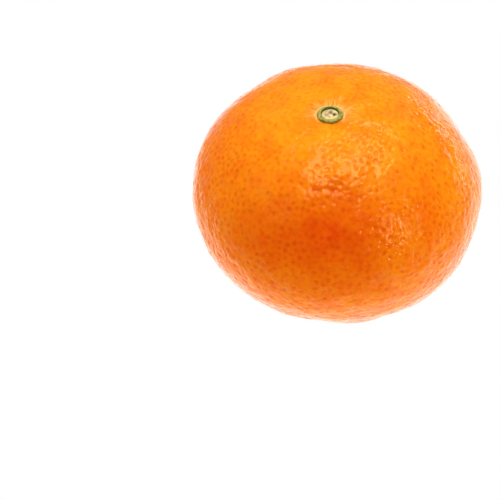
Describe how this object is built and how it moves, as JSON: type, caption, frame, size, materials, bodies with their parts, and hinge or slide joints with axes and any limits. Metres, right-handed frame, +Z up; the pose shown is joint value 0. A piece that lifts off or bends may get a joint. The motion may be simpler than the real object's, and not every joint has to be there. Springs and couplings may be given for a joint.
{
  "type": "mandarin",
  "caption": "Whole ripe mandarin that rests on its blossom end, slightly squat, with a worn green calyx and a snapped stalk at its top.",
  "frame": {"origin": "level with the small flat spot that the fruit rests on, in the middle of the fruit's box in plan", "axes": "+Z up from the blossom end to the stem end, -Y towards the front of the fruit, +X to the right as seen from the front"},
  "size_m": [0.0686, 0.0678, 0.0521],
  "materials": {
    "rind": "waxy, pitted by oil glands",
    "calyx": "dull green",
    "stalk_wood": "dry, broken"
  },
  "bodies": {
    "root": {"fruit": "rind", "calyx": "calyx", "stalk_stub": "stalk_wood"}
  },
  "joints": []
}
